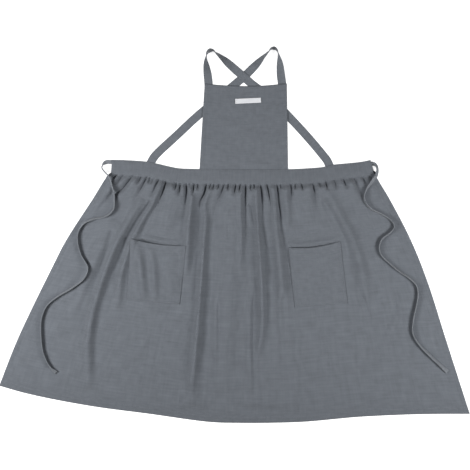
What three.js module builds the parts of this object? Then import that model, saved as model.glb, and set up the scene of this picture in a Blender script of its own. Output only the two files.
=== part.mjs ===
// A pinafore kitchen apron laid out flat: bib, waistband, gathered skirt, two patch pockets,
// two straps that cross at the back, two ties and a small label.
// Millimetres. X runs along the waist, Y from hem to bib, Z up from the surface that it lies on.
// The origin is on that surface, and MIDDLE_SHIFT moves the whole apron so that its middle is there.
import * as THREE from 'three';
import { mergeVertices } from 'three/addons/utils/BufferGeometryUtils.js';

// Cloth
const CLOTH = 1.4;
const STRAP = { width: 26, thick: 1.6 };
const TIE = { width: 13, thick: 2.2, bevel: 0.7 };
const LABEL = { width: 80, height: 16, thick: 1, x: 42, y: 413.5, tilt: 3.7 };
const CLEARANCE = 0.3;
const SAME_POINT = 1e-4;
const MIDDLE_SHIFT = 4.3;

// Waistband: two layers round a web, with a groove above for the bib and one below for the skirt.
// Its middle line is pulled up where the straps are sewn in, and at both ends
const BAND = { width: 45, layer: 1, groove: 3.4, bibDepth: 22, skirtDepth: 13 };
const BAND_LINE = [
  [-380, 207], [-340, 206], [-275, 201.5], [-243, 195.5], [-207, 187], [-175, 181], [-125, 179], [0, 177.6],
  [100, 177.3], [166, 178], [224, 180.5], [277, 185], [312, 192.5], [348, 196], [388, 200], [417, 205],
];
const BAND_STEPS = 30;
const BAND_SAMPLES = 180;

// Bib
const BIB = { topLeft: -92.5, topRight: 162, top: 465.5, dip: 8, bottomLeft: -109, bottomRight: 166 };
const BIB_TUCK = 12;
const BIB_UNDERSIDE = 2.4;
const BIB_GRID = { columns: 10, rows: 8 };

// Skirt outline: the waist edge tucked into the band, then the left side, the hem and the right side
const SKIRT_TUCK = 11;
const SKIRT_WAIST = { left: -374, right: 411 };
const SKIRT_LEFT_SIDE = [[-382, 188], [-392, 181], [-441, 105], [-521, -19], [-569, -112], [-673, -329]];
const SKIRT_RIGHT_SIDE = [[421, 192], [435, 183], [482, 105], [546, -19], [596, -143], [655.5, -329]];
const SKIRT_LEFT_CORNER = [-728.5, -470];
const SKIRT_RIGHT_CORNER = [728.5, -557];
const HEM = [
  [-634, -496], [-448, -532], [-262, -557], [-76, -582], [17, -585], [203, -582], [389, -566], [575, -558],
];

// Gathers: crests and sharp creases just below the band, each a little different from the next
const GATHERS = { count: 30, columns: 4, height: 8, length: 62, tucked: 0.6, opens: 20 };
const CREST_SHAPE = 0.8;
const FADE_SHAPE = 1.5;
const HEIGHT_VARIES = { share: 0.2, pace: 2.4 };
const LENGTH_VARIES = { share: 0.25, pace: 1.7 };

// How far below the waist edge the rows of the skirt lie
const SKIRT_ROWS = [0, 11, 30, 60, 100, 150, 215, 290, 375, 465, 560, 660, 770];

// Long folds: each is a ridge from one point to another, bowed to its left, fading at both ends
const FOLDS = [
  { from: [-352, 160], to: [-470, 40], bow: -10, width: 22, height: 5 },
  { from: [-318, 160], to: [-398, 10], bow: -8, width: 20, height: 6 },
  { from: [-232, 140], to: [-338, -70], bow: -8, width: 16, height: 8 },
  { from: [-288, 95], to: [-446, -440], bow: -45, width: 26, height: 8 },
  { from: [-368, 40], to: [-500, -260], bow: -10, width: 28, height: 4 },
  { from: [-128, 140], to: [-150, 0], bow: 0, width: 18, height: 4 },
  { from: [-88, 150], to: [-138, -520], bow: 14, width: 19, height: 9 },
  { from: [-42, 150], to: [-52, -500], bow: 10, width: 26, height: 5 },
  { from: [50, 150], to: [66, -480], bow: 0, width: 19, height: 6 },
  { from: [104, 150], to: [144, -380], bow: 6, width: 20, height: 7 },
  { from: [154, 150], to: [160, 10], bow: 0, width: 14, height: 6 },
  { from: [268, 140], to: [412, -250], bow: 18, width: 28, height: 4 },
  { from: [500, -190], to: [412, -400], bow: 10, width: 28, height: 4 },
  { from: [20, -505], to: [200, -540], bow: 6, width: 20, height: 3 },
];

// Patch pockets: four corners, and where along the mouth the cloth stands furthest off the skirt
const POCKETS = [
  { name: 'pocket_left', corners: [[-318, -15], [-149, -36], [-169, -217], [-334, -205]], gapes: 0.4 },
  { name: 'pocket_right', corners: [[166, -42], [327, -23], [350, -214], [186, -227]], gapes: 0.5 },
];
const POCKET_GRID = { columns: 12, rows: 8 };
const POCKET_GAPE = { height: 9, across: 0.7, down: 3 };
const POCKET_REACH = 9;

// Straps, from the bib's top corner to the waistband: roll stands the strap on its edge at the shoulder
// and turns it over, and lift is how far its lowest edge is above the surface
const STRAP_LEFT = [
  { x: -80, y: 436, roll: 0, lift: 0.5 },
  { x: -80.5, y: 467, roll: 0, lift: 0.3 },
  { x: -83, y: 492, roll: 14, lift: 0 },
  { x: -86.5, y: 522, roll: 50, lift: 0 },
  { x: -88, y: 546, roll: 88, lift: 0 },
  { x: -85, y: 559, roll: 82, lift: 0 },
  { x: -76.5, y: 566, roll: 75, lift: 0 },
  { x: -66, y: 564, roll: 82, lift: 0 },
  { x: -55, y: 557, roll: 94, lift: 0 },
  { x: -39, y: 545.5, roll: 130, lift: 0 },
  { x: -21, y: 529.5, roll: 166, lift: 0 },
  { x: 3.5, y: 508, roll: 180, lift: 1.6 },
  { x: 15.5, y: 498, roll: 180, lift: 2 },
  { x: 28.5, y: 487.5, roll: 180, lift: 2 },
  { x: 45, y: 476.5, roll: 180, lift: 1.8 },
  { x: 55, y: 469.3, roll: 180, lift: 0.5 },
  { x: 66, y: 461.3, roll: 180, lift: 0.3 },
  { x: 84, y: 447, roll: 180, lift: 0 },
  { x: 121, y: 411.5, roll: 180, lift: 0 },
  { x: 171, y: 361, roll: 180, lift: 0 },
  { x: 234.5, y: 291.5, roll: 180, lift: 0 },
  { x: 275, y: 243, roll: 180, lift: 0 },
  { x: 286.6, y: 227.5, roll: 180, lift: 1.4 },
  { x: 296, y: 207, roll: 180, lift: 1.4 },
];
const STRAP_RIGHT = [
  { x: 148, y: 436, roll: 0, lift: 0.5 },
  { x: 147, y: 467, roll: 0, lift: 0.3 },
  { x: 143.5, y: 492, roll: -14, lift: 0 },
  { x: 140, y: 522, roll: -44, lift: 0 },
  { x: 135.5, y: 547, roll: -80, lift: 0 },
  { x: 131, y: 563, roll: -86, lift: 0 },
  { x: 121.5, y: 572.5, roll: -75, lift: 0 },
  { x: 111, y: 569.5, roll: -82, lift: 0 },
  { x: 99, y: 557.5, roll: -88, lift: 0 },
  { x: 86.5, y: 545, roll: -100, lift: 0 },
  { x: 71.5, y: 529, roll: -135, lift: 0 },
  { x: 51, y: 508.5, roll: -180, lift: 0 },
  { x: 28.5, y: 487.5, roll: -180, lift: 0 },
  { x: -14, y: 457, roll: -180, lift: 0 },
  { x: -60, y: 414, roll: -180, lift: 0 },
  { x: -112, y: 368, roll: -180, lift: 0 },
  { x: -182, y: 303, roll: -180, lift: 0 },
  { x: -241, y: 248, roll: -180, lift: 0 },
  { x: -252, y: 234, roll: -180, lift: 1.4 },
  { x: -264, y: 210, roll: -180, lift: 1.4 },
];
const STRAP_STEPS = 5;

// Ties: flat where they leave the waistband, then standing on edge in loose curves over the skirt.
// lift is given where a tie is still off the skirt
const TIE_LEFT = [
  { x: -368, y: 222, roll: 0, lift: 1.6 },
  { x: -386, y: 223, roll: 0, lift: 1.6 },
  { x: -401, y: 220, roll: 40, lift: 1.6 },
  { x: -410, y: 207, roll: 82, lift: 2 },
  { x: -402, y: 193, roll: 84, lift: 5 },
  { x: -386, y: 177, roll: 84, lift: 9 },
  { x: -373, y: 138, roll: 84 },
  { x: -369, y: 101, roll: 84 },
  { x: -373, y: 74, roll: 88 },
  { x: -394, y: 55, roll: 88 },
  { x: -434, y: 46, roll: 86 },
  { x: -465, y: 31, roll: 86 },
  { x: -482, y: 4, roll: 84 },
  { x: -483, y: -28, roll: 82 },
  { x: -471, y: -68, roll: 84 },
  { x: -449, y: -104, roll: 84 },
  { x: -461, y: -136, roll: 80 },
  { x: -500, y: -166, roll: 80 },
  { x: -547, y: -194, roll: 82 },
  { x: -580, y: -223, roll: 82 },
  { x: -595, y: -264, roll: 80 },
  { x: -596, y: -310, roll: 78 },
  { x: -591, y: -356, roll: 78 },
  { x: -578, y: -393, roll: 76 },
  { x: -565, y: -414, roll: 60 },
  { x: -550, y: -428, roll: 20 },
];
const TIE_RIGHT = [
  { x: 404, y: 214, roll: 0, lift: 1.6 },
  { x: 421, y: 217, roll: 0, lift: 1.6 },
  { x: 434, y: 212, roll: -66, lift: 5 },
  { x: 440, y: 197, roll: -76, lift: 10 },
  { x: 437, y: 180, roll: -76, lift: 12 },
  { x: 424, y: 161, roll: -78, lift: 12 },
  { x: 404, y: 134, roll: -82 },
  { x: 399, y: 106, roll: -86 },
  { x: 416, y: 80, roll: -84 },
  { x: 450, y: 62, roll: -82 },
  { x: 481, y: 42, roll: -82 },
  { x: 492, y: 23, roll: -84 },
  { x: 481, y: 5, roll: -84 },
  { x: 456, y: -15, roll: -84 },
  { x: 446, y: -38, roll: -82 },
  { x: 451, y: -64, roll: -80 },
  { x: 476, y: -89, roll: -80 },
  { x: 507, y: -115, roll: -80 },
  { x: 538, y: -136, roll: -80 },
  { x: 561, y: -160, roll: -76 },
  { x: 565, y: -188, roll: -70 },
  { x: 560, y: -224, roll: -66 },
  { x: 551, y: -264, roll: -66 },
  { x: 548, y: -300, roll: -70 },
  { x: 560, y: -329, roll: -70 },
  { x: 584, y: -357, roll: -60 },
  { x: 610, y: -382, roll: -50 },
  { x: 635, y: -405, roll: -20 },
  { x: 656, y: -424, roll: -8 },
];
const TIE_STEPS = 2;
const TIE_REACH = 8;

// Finishes
const GREY_CLOTH = { color: 0x6a6f75, roughness: 0.95, metalness: 0 };
const GREY_TAPE = { color: 0x777c82, roughness: 0.95, metalness: 0 };
const WHITE_TAPE = { color: 0xdadce0, roughness: 0.85, metalness: 0 };

const { clamp, lerp, smoothstep, degToRad } = THREE.MathUtils;
const UP = new THREE.Vector3(0, 0, 1);
const DOWN = new THREE.Vector3(0, 0, -1);

const point = ([x, y]) => new THREE.Vector3(x, y, 0);

// Middle line of the waistband, level beyond its ends, and its upper and lower edges
const bandCurve = new THREE.CatmullRomCurve3(BAND_LINE.map(point));
const bandSamples = bandCurve.getPoints(BAND_SAMPLES);

function bandMiddle(x) {
  const last = bandSamples.length - 1;
  const place = clamp(x, bandSamples[0].x, bandSamples[last].x);
  const after = clamp(bandSamples.findIndex((sample) => sample.x >= place), 1, last);
  const [a, b] = [bandSamples[after - 1], bandSamples[after]];
  return lerp(a.y, b.y, (place - a.x) / (b.x - a.x));
}

function bandTop(x) {
  return bandMiddle(x) + BAND.width / 2;
}

function bandBottom(x) {
  return bandMiddle(x) - BAND.width / 2;
}

// A closed body from a geometry whose faces share their corners
function closedBody(geometry) {
  geometry.deleteAttribute('normal');
  geometry.deleteAttribute('uv');
  geometry.clearGroups();
  const body = mergeVertices(geometry, SAME_POINT);
  body.computeVertexNormals();
  return body;
}

// A sheet of cloth: underside(u, v) gives a point under the cloth, u across it and v down it, both from
// 0 to 1, and the upper face lies one thickness above. Both faces are cut along the same diagonals.
function sheet({ columns, rows }, underside, thick) {
  const face = new THREE.PlaneGeometry(1, 1, columns, rows);
  const uv = face.attributes.uv;
  const lower = [];
  const upper = [];
  for (let i = 0; i < uv.count; i += 1) {
    const p = underside(uv.getX(i), 1 - uv.getY(i));
    lower.push(p.x, p.y, p.z);
    upper.push(p.x, p.y, p.z + thick);
  }
  const top = [...face.index.array];
  const bottom = top.map((_, i) => top[i - (i % 3) + 2 - (i % 3)] + uv.count);

  // The rim runs along the first row, down the last column, back along the last row and up again
  const across = columns + 1;
  const count = (length) => Array.from({ length }, (_, i) => i);
  const rim = [
    ...count(columns),
    ...count(rows).map((j) => j * across + columns),
    ...count(columns).map((i) => rows * across + columns - i),
    ...count(rows).map((j) => (rows - j) * across),
  ];
  const edge = rim.flatMap((a, i) => {
    const b = rim[(i + 1) % rim.length];
    return [a, b, b + uv.count, a, b + uv.count, a + uv.count];
  });

  const geometry = new THREE.BufferGeometry();
  geometry.setAttribute('position', new THREE.Float32BufferAttribute([...upper, ...lower], 3));
  geometry.setIndex([...top, ...bottom, ...edge]);
  geometry.computeVertexNormals();
  return geometry;
}

// One value of a table of stations, part of the way along it
function between(stations, name, along) {
  const place = along * (stations.length - 1);
  const first = Math.min(Math.floor(place), stations.length - 2);
  return lerp(stations[first][name], stations[first + 1][name], place - first);
}

// A straight length of a section, bent along a route on the surface and rolled about it.
// heightAt gives the height of the section's middle at a point of the route.
function bent(section, path, steps, rollAt, heightAt) {
  const frames = [];
  for (let step = 0; step <= steps; step += 1) {
    const along = step / steps;
    const forward = path.getTangent(along);
    const side = new THREE.Vector3().crossVectors(UP, forward);
    side.applyAxisAngle(forward, degToRad(rollAt(along)));
    const face = new THREE.Vector3().crossVectors(forward, side);
    const middle = path.getPoint(along);
    middle.z = heightAt(along, middle);
    frames.push({ side, face, middle });
  }
  const geometry = new THREE.ExtrudeGeometry(section, { depth: 1, steps, bevelEnabled: false });
  const position = geometry.attributes.position;
  for (let i = 0; i < position.count; i += 1) {
    const { side, face, middle } = frames[Math.round(position.getZ(i) * steps)];
    const place = middle.clone();
    place.addScaledVector(side, position.getX(i));
    place.addScaledVector(face, position.getY(i));
    position.setXYZ(i, place.x, place.y, place.z);
  }
  return closedBody(geometry);
}

// Half the height of a flat tape that is rolled about its length
function standing({ width, thick }, roll) {
  const angle = degToRad(roll);
  return (Math.abs(Math.sin(angle)) * width + Math.abs(Math.cos(angle)) * thick) / 2;
}

function routeOf(stations) {
  return new THREE.CatmullRomCurve3(stations.map(({ x, y }) => new THREE.Vector3(x, y, 0)));
}

function outline(points) {
  return new THREE.Shape(points.map(([x, y]) => new THREE.Vector2(x, y)));
}

function piece(name, geometry, finish) {
  const mesh = new THREE.Mesh(geometry, new THREE.MeshStandardMaterial(finish));
  mesh.name = name;
  return mesh;
}

// Waistband
function waistband() {
  const half = BAND.width / 2;
  const inner = BAND.layer + BAND.groove;
  const thick = inner + BAND.layer;
  const webTop = half - BAND.bibDepth;
  const webBottom = BAND.skirtDepth - half;
  const section = outline([
    [-half, 0], [half, 0], [half, BAND.layer], [webTop, BAND.layer], [webTop, inner], [half, inner],
    [half, thick], [-half, thick], [-half, inner], [webBottom, inner], [webBottom, BAND.layer],
    [-half, BAND.layer],
  ]);
  return bent(section, bandCurve, BAND_STEPS, () => 0, () => 0);
}

// Bib
function bib() {
  return sheet(BIB_GRID, (u, v) => {
    const x = lerp(lerp(BIB.topLeft, BIB.topRight, u), lerp(BIB.bottomLeft, BIB.bottomRight, u), v);
    const top = BIB.top - BIB.dip * Math.sin(Math.PI * u);
    return new THREE.Vector3(x, lerp(top, bandTop(x) - BIB_TUCK, v), BIB_UNDERSIDE);
  }, CLOTH);
}

// Skirt: its outline is filled in from its four edges, and gathers and folds give its height
function waistEdge(u) {
  const x = lerp(SKIRT_WAIST.left, SKIRT_WAIST.right, u);
  return point([x, bandBottom(x) + SKIRT_TUCK]);
}

const sideLeft = new THREE.CatmullRomCurve3(
  [waistEdge(0), ...SKIRT_LEFT_SIDE.map(point), point(SKIRT_LEFT_CORNER)],
);
const sideRight = new THREE.CatmullRomCurve3(
  [waistEdge(1), ...SKIRT_RIGHT_SIDE.map(point), point(SKIRT_RIGHT_CORNER)],
);
const hem = new THREE.CatmullRomCurve3([SKIRT_LEFT_CORNER, ...HEM, SKIRT_RIGHT_CORNER].map(point));

function skirtPlan(u, v) {
  const down = waistEdge(u).lerp(hem.getPointAt(u), v);
  const over = sideLeft.getPointAt(v).lerp(sideRight.getPointAt(v), u);
  const top = waistEdge(0).lerp(waistEdge(1), u);
  const bottom = point(SKIRT_LEFT_CORNER).lerp(point(SKIRT_RIGHT_CORNER), u);
  return down.add(over).sub(top.lerp(bottom, v));
}

function varied({ share, pace }, number) {
  return 1 - share + share * Math.sin(pace * number);
}

function gatherHeight(u, below) {
  const place = u * GATHERS.count;
  const number = Math.floor(place);
  const crest = Math.abs(Math.sin(Math.PI * place)) ** CREST_SHAPE;
  const height = GATHERS.height * varied(HEIGHT_VARIES, number);
  const length = GATHERS.length * varied(LENGTH_VARIES, number);
  const opening = smoothstep(below, 0, GATHERS.opens);
  const fading = Math.exp(-((Math.max(0, below - GATHERS.opens) / length) ** FADE_SHAPE));
  return crest * lerp(GATHERS.tucked, height, opening) * fading;
}

function foldHeight(x, y) {
  let total = 0;
  for (const { from, to, bow, width, height } of FOLDS) {
    const [dx, dy] = [to[0] - from[0], to[1] - from[1]];
    const length = Math.hypot(dx, dy);
    const along = ((x - from[0]) * dx + (y - from[1]) * dy) / length ** 2;
    const aside = ((y - from[1]) * dx - (x - from[0]) * dy) / length;
    const fading = Math.sin(Math.PI * clamp(along, 0, 1));
    total += height * Math.sqrt(fading) * Math.exp(-(((aside - bow * fading) / width) ** 2));
  }
  return total;
}

function skirt() {
  const rows = SKIRT_ROWS.length - 1;
  const grid = { columns: GATHERS.count * GATHERS.columns, rows };
  const seat = BAND.layer + CLEARANCE;
  return sheet(grid, (u, v) => {
    const place = skirtPlan(u, SKIRT_ROWS[Math.round(v * rows)] / SKIRT_ROWS[rows]);
    const below = bandBottom(place.x) - place.y;
    const folds = foldHeight(place.x, place.y) * smoothstep(below, 0, GATHERS.opens);
    place.z = seat * (1 - smoothstep(below, 0, GATHERS.opens)) + gatherHeight(u, below) + folds;
    return place;
  }, CLOTH);
}

// Height of a piece's upper face, the highest within reach of a point, or 0 beside the piece
function topOf(mesh) {
  const ray = new THREE.Raycaster();
  const above = 100;
  const directions = 8;
  const heightAt = (x, y) => {
    ray.set(new THREE.Vector3(x, y, above), DOWN);
    const [hit] = ray.intersectObject(mesh);
    return hit ? hit.point.z : 0;
  };
  return (x, y, reach) => {
    let highest = heightAt(x, y);
    for (let i = 0; i < directions; i += 1) {
      const angle = (2 * Math.PI * i) / directions;
      highest = Math.max(highest, heightAt(x + reach * Math.cos(angle), y + reach * Math.sin(angle)));
    }
    return highest;
  };
}

// Pockets: sewn down at the sides and the bottom, with the mouth standing open
function pocket({ corners, gapes }, skirtTop) {
  const [topLeft, topRight, bottomRight, bottomLeft] = corners.map(point);
  return sheet(POCKET_GRID, (u, v) => {
    const upper = topLeft.clone().lerp(topRight, u);
    const lower = bottomLeft.clone().lerp(bottomRight, u);
    const place = upper.lerp(lower, v);
    const across = Math.sin(Math.PI * u ** (Math.log(0.5) / Math.log(gapes))) ** POCKET_GAPE.across;
    const gape = POCKET_GAPE.height * across * (1 - v ** POCKET_GAPE.down);
    place.z = skirtTop(place.x, place.y, POCKET_REACH) + CLEARANCE + gape;
    return place;
  }, CLOTH);
}

// Straps
function strap(stations) {
  const { width, thick } = STRAP;
  const section = outline([
    [-width / 2, -thick / 2], [width / 2, -thick / 2], [width / 2, thick / 2], [-width / 2, thick / 2],
  ]);
  const rollAt = (along) => between(stations, 'roll', along);
  const heightAt = (along) => between(stations, 'lift', along) + standing(STRAP, rollAt(along));
  return bent(section, routeOf(stations), (stations.length - 1) * STRAP_STEPS, rollAt, heightAt);
}

// Ties: an eight-sided flat section that follows the skirt's upper face
function tie(route, skirtTop) {
  const { width, thick, bevel } = TIE;
  const [w, t] = [width / 2, thick / 2];
  const section = outline([
    [-w + bevel, -t], [w - bevel, -t], [w, -t + bevel], [w, t - bevel],
    [w - bevel, t], [-w + bevel, t], [-w, t - bevel], [-w, -t + bevel],
  ]);
  const stations = route.map((station) => ({ lift: 0, ...station }));
  const rollAt = (along) => between(stations, 'roll', along);
  const heightAt = (along, { x, y }) => {
    const onSkirt = skirtTop(x, y, TIE_REACH) + CLEARANCE;
    return Math.max(between(stations, 'lift', along), onSkirt) + standing(TIE, rollAt(along));
  };
  return bent(section, routeOf(stations), (stations.length - 1) * TIE_STEPS, rollAt, heightAt);
}

// Label
function label() {
  const { width, height, thick, x, y, tilt } = LABEL;
  const tape = new THREE.BoxGeometry(width, height, thick);
  tape.rotateZ(degToRad(tilt));
  tape.translate(x, y, BIB_UNDERSIDE + CLOTH + CLEARANCE + thick / 2);
  return closedBody(tape);
}

const apron = new THREE.Group();
apron.name = 'apron';
apron.position.y = MIDDLE_SHIFT;
const skirtPiece = piece('skirt', skirt(), GREY_CLOTH);
const skirtTop = topOf(skirtPiece);
apron.add(
  piece('bib', bib(), GREY_CLOTH),
  piece('waistband', waistband(), GREY_CLOTH),
  skirtPiece,
  piece('strap_left', strap(STRAP_LEFT), GREY_TAPE),
  piece('strap_right', strap(STRAP_RIGHT), GREY_TAPE),
  piece('tie_left', tie(TIE_LEFT, skirtTop), GREY_TAPE),
  piece('tie_right', tie(TIE_RIGHT, skirtTop), GREY_TAPE),
  piece('label', label(), WHITE_TAPE),
);
for (const details of POCKETS) {
  apron.add(piece(details.name, pocket(details, skirtTop), GREY_CLOTH));
}

export default apron;
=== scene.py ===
# %% [markdown]
# # A kitchen apron, laid out flat
#
# The apron is sewn from one grey cloth: a bib, a waistband, a wide skirt that is gathered into the
# waistband, two patch pockets, two straps that cross at the back, two ties and a small white label.
# The plain solids of these pieces come in as a fixed frame. This lesson makes the cloth itself around
# that frame, piece by piece, in metres: +X runs along the waist, +Y from the hem to the bib, +Z up.

# %% Load the frame
import math

import bpy
import numpy as np
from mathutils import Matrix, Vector
from mathutils.bvhtree import BVHTree


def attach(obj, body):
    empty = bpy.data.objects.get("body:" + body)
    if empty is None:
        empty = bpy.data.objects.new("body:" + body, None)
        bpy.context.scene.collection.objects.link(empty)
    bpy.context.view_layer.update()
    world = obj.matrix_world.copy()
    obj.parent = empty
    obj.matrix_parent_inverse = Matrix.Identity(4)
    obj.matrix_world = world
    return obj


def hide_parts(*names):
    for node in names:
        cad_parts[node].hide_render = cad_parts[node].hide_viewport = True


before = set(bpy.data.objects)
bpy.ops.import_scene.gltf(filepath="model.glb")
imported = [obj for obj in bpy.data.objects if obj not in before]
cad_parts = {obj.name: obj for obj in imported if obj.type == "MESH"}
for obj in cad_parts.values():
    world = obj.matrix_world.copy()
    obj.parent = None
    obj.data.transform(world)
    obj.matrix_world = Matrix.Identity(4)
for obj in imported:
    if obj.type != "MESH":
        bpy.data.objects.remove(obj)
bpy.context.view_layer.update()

print("solids:", ", ".join(sorted(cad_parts)))

# %% [markdown]
# ## Camera
#
# The apron is seen from straight above, so its outline is the first thing to match. A camera could be
# aimed at a target, but one that hangs over the middle and looks straight down needs no turning at all.
# Its height is what makes the sensor just as wide as the picture at the surface.

# %% Camera
PICTURE_WIDTH = 1.457
LENS = 50
SENSOR = 36
EYE_OVER = (0.0015, 0.0012)

eye_height = PICTURE_WIDTH * LENS / SENSOR
bpy.ops.object.camera_add(location=(*EYE_OVER, eye_height), rotation=(0, 0, 0))
camera = bpy.context.object
camera.name = "camera"
camera.data.lens = LENS
camera.data.sensor_width = SENSOR
bpy.context.scene.camera = camera
print("camera height:", round(eye_height, 4))

# %% [markdown]
# ## Smooth lines
#
# Cut edges, folds, straps and ties all follow lines that were listed, a point here and there.
# A curve object could join such points, but the same line is also needed for measuring and for placing
# stitches. So one short function runs a smooth line through the points, and a second one finds the
# place at a given share of a line's length.

# %% Smooth lines
# The tables below keep y as it was measured, and this shift brings the apron's middle to the origin
MIDDLE_SHIFT = 0.0043


def through(points, steps):
    """A smooth line through points, with this many steps from each point to the next."""
    p = np.array(points, dtype=float)
    p = np.vstack([2 * p[0] - p[1], p, 2 * p[-1] - p[-2]])
    gap = np.sqrt(np.linalg.norm(np.diff(p, axis=0), axis=1))[:, None]
    a, b, c, d = p[:-3], p[1:-2], p[2:-1], p[3:]
    before, here, after = gap[:-2], gap[1:-1], gap[2:]
    leave = here * ((b - a) / before - (c - a) / (before + here) + (c - b) / here)
    arrive = here * ((c - b) / here - (d - b) / (here + after) + (d - c) / after)
    t = np.linspace(0, 1, steps, endpoint=False)[:, None, None]
    bend = -3 * b + 3 * c - 2 * leave - arrive
    twist = 2 * b - 2 * c + leave + arrive
    line = b + leave * t + bend * t**2 + twist * t**3
    return np.vstack([line.transpose(1, 0, 2).reshape(-1, p.shape[1]), p[-2]])


def lengths(line):
    """How far along a line each of its points lies."""
    return np.concatenate([[0], np.cumsum(np.linalg.norm(np.diff(line, axis=0), axis=1))])


def at_distance(values, along, wanted):
    """What values come to at wanted distances, where along holds the distances that they belong to."""
    return np.stack([np.interp(wanted, along, axis) for axis in values.T], axis=-1)


def at_share(line, share):
    """The places at these shares of a line's length."""
    along = lengths(line)
    return at_distance(line, along, np.asarray(share) * along[-1])


def smooth_step(x):
    """Rises from 0 to 1, level at both ends."""
    t = np.clip(x, 0, 1)
    return t * t * (3 - 2 * t)


print("a line through three points:", through([(0, 0), (1, 1), (2, 0)], 2).round(2).tolist())

# %% [markdown]
# ## How the skirt lies
#
# The skirt is cut about 1.48 m wide and drawn up into a band of 0.8 m. The cloth starts in the groove of
# the band, comes out level with the band's swollen lower edge and sinks from there to where it rests.
# Close to the band it puffs up between sharp creases, and lower down it has a few long soft folds. Cloth
# could be dropped on a floor by simulation, but then each crease would fall where it likes. Here its
# height over the floor is worked out: the puff, soft folds and wrinkles are added up, and the creases
# then take away a share of the height. The ties and pockets on the skirt use the same function.

# %% The waist line
# The band's middle line: it is pulled up where the straps are sewn in, and at both ends
BAND_LINE = [
    (-0.380, 0.2070), (-0.340, 0.2060), (-0.275, 0.2015), (-0.243, 0.1955), (-0.207, 0.1870),
    (-0.175, 0.1810), (-0.125, 0.1790), (0.000, 0.1776), (0.100, 0.1773), (0.166, 0.1780),
    (0.224, 0.1805), (0.277, 0.1850), (0.312, 0.1925), (0.348, 0.1960), (0.388, 0.2000),
    (0.412, 0.2040), (0.426, 0.2075),
]
BAND_WIDTH = 0.045
BAND_LINE_STEPS = 12

band_x, band_y = through(BAND_LINE, BAND_LINE_STEPS).T


def band_middle(x):
    return np.interp(x, band_x, band_y)


def below_band(x, y):
    return band_middle(x) - BAND_WIDTH / 2 - y


print("the band rises by", round(float(np.ptp(band_y)), 4), "m towards its ends")

# %% Routes of folds
ROUTE_STEPS = 6


def near_route(route, x, y):
    """How far points lie from a route, and at what share of its length they are nearest to it."""
    line = through(route, ROUTE_STEPS)
    along = lengths(line) / lengths(line)[-1]
    nearest = np.full_like(x, np.inf)
    reached = np.zeros_like(x)
    for (x0, y0), (x1, y1), start, end in zip(line[:-1], line[1:], along[:-1], along[1:]):
        dx, dy = x1 - x0, y1 - y0
        part = np.clip(((x - x0) * dx + (y - y0) * dy) / (dx * dx + dy * dy), 0, 1)
        away = np.hypot(x - x0 - part * dx, y - y0 - part * dy)
        closer = away < nearest
        nearest = np.where(closer, away, nearest)
        reached = np.where(closer, start + part * (end - start), reached)
    return nearest, reached


away, share = near_route([(0, 0), (2, 0)], np.array([1.5]), np.array([0.5]))
print("a point beside a straight route is", away[0], "m away, at", share[0], "of its length")

# %% Soft folds
# A round ridge along a route, which fades at both ends
FOLDS = [
    # route, width, height
    ([(-0.352, 0.172), (-0.381, 0.139), (-0.428, 0.092), (-0.475, 0.030)], 0.014, 0.008),
    ([(-0.300, 0.172), (-0.334, 0.139), (-0.357, 0.112), (-0.398, 0.040)], 0.014, 0.007),
    ([(-0.285, 0.110), (-0.347, -0.002), (-0.381, -0.076), (-0.404, -0.143), (-0.437, -0.248),
      (-0.450, -0.360), (-0.447, -0.490)], 0.015, 0.023),
    ([(-0.218, 0.160), (-0.246, 0.109), (-0.297, 0.018), (-0.316, -0.010), (-0.332, -0.062),
      (-0.350, -0.130), (-0.362, -0.230)], 0.011, 0.021),
    ([(-0.368, 0.040), (-0.430, -0.090), (-0.500, -0.260)], 0.022, 0.014),
    ([(-0.185, 0.155), (-0.205, 0.060), (-0.218, -0.010)], 0.028, 0.013),
    ([(-0.128, 0.155), (-0.135, 0.080), (-0.142, 0.000), (-0.150, -0.130)], 0.012, 0.021),
    ([(-0.074, 0.158), (-0.082, 0.126), (-0.094, 0.092), (-0.091, 0.052), (-0.095, -0.009),
      (-0.099, -0.076), (-0.105, -0.173), (-0.113, -0.285), (-0.121, -0.364), (-0.131, -0.450),
      (-0.136, -0.510)], 0.010, 0.021),
    ([(-0.004, 0.158), (-0.010, 0.050), (-0.018, -0.100), (-0.030, -0.480)], 0.032, 0.014),
    ([(0.066, 0.158), (0.070, 0.050), (0.080, -0.100), (0.085, -0.285), (0.072, -0.380)], 0.010, 0.021),
    ([(0.022, 0.158), (0.020, 0.080), (0.022, 0.000), (0.019, -0.110)], 0.009, 0.010),
    ([(0.114, 0.158), (0.123, 0.075), (0.134, -0.050), (0.146, -0.187), (0.160, -0.400)], 0.016, 0.020),
    ([(0.050, -0.150), (0.046, -0.339), (0.050, -0.510)], 0.011, 0.009),
    ([(0.156, 0.158), (0.160, 0.090), (0.166, 0.010)], 0.013, 0.011),
    ([(0.215, 0.158), (0.225, 0.090), (0.236, 0.010)], 0.026, 0.008),
    ([(0.268, 0.155), (0.330, 0.040), (0.380, -0.070), (0.412, -0.250)], 0.019, 0.018),
    ([(0.355, 0.172), (0.372, 0.095)], 0.020, 0.008),
    ([(0.514, -0.195), (0.476, -0.308), (0.424, -0.405)], 0.010, 0.010),
    ([(-0.112, -0.270), (-0.118, -0.364), (-0.124, -0.460), (-0.128, -0.520)], 0.020, 0.010),
    ([(0.020, -0.512), (0.110, -0.516), (0.200, -0.526)], 0.014, 0.016),
    ([(-0.170, -0.516), (-0.070, -0.520)], 0.013, 0.013),
    ([(-0.060, -0.150), (-0.058, -0.340), (-0.062, -0.520)], 0.011, 0.006),
    # just above the mouths of the pockets
    ([(-0.308, -0.004), (-0.262, -0.0155), (-0.235, -0.0210), (-0.205, -0.0245), (-0.156, -0.0250)],
     0.009, 0.0050),
    ([(0.166, -0.030), (0.198, -0.0335), (0.216, -0.0340), (0.243, -0.0310), (0.268, -0.0250),
      (0.322, -0.0120)], 0.009, 0.0060),
]


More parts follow.
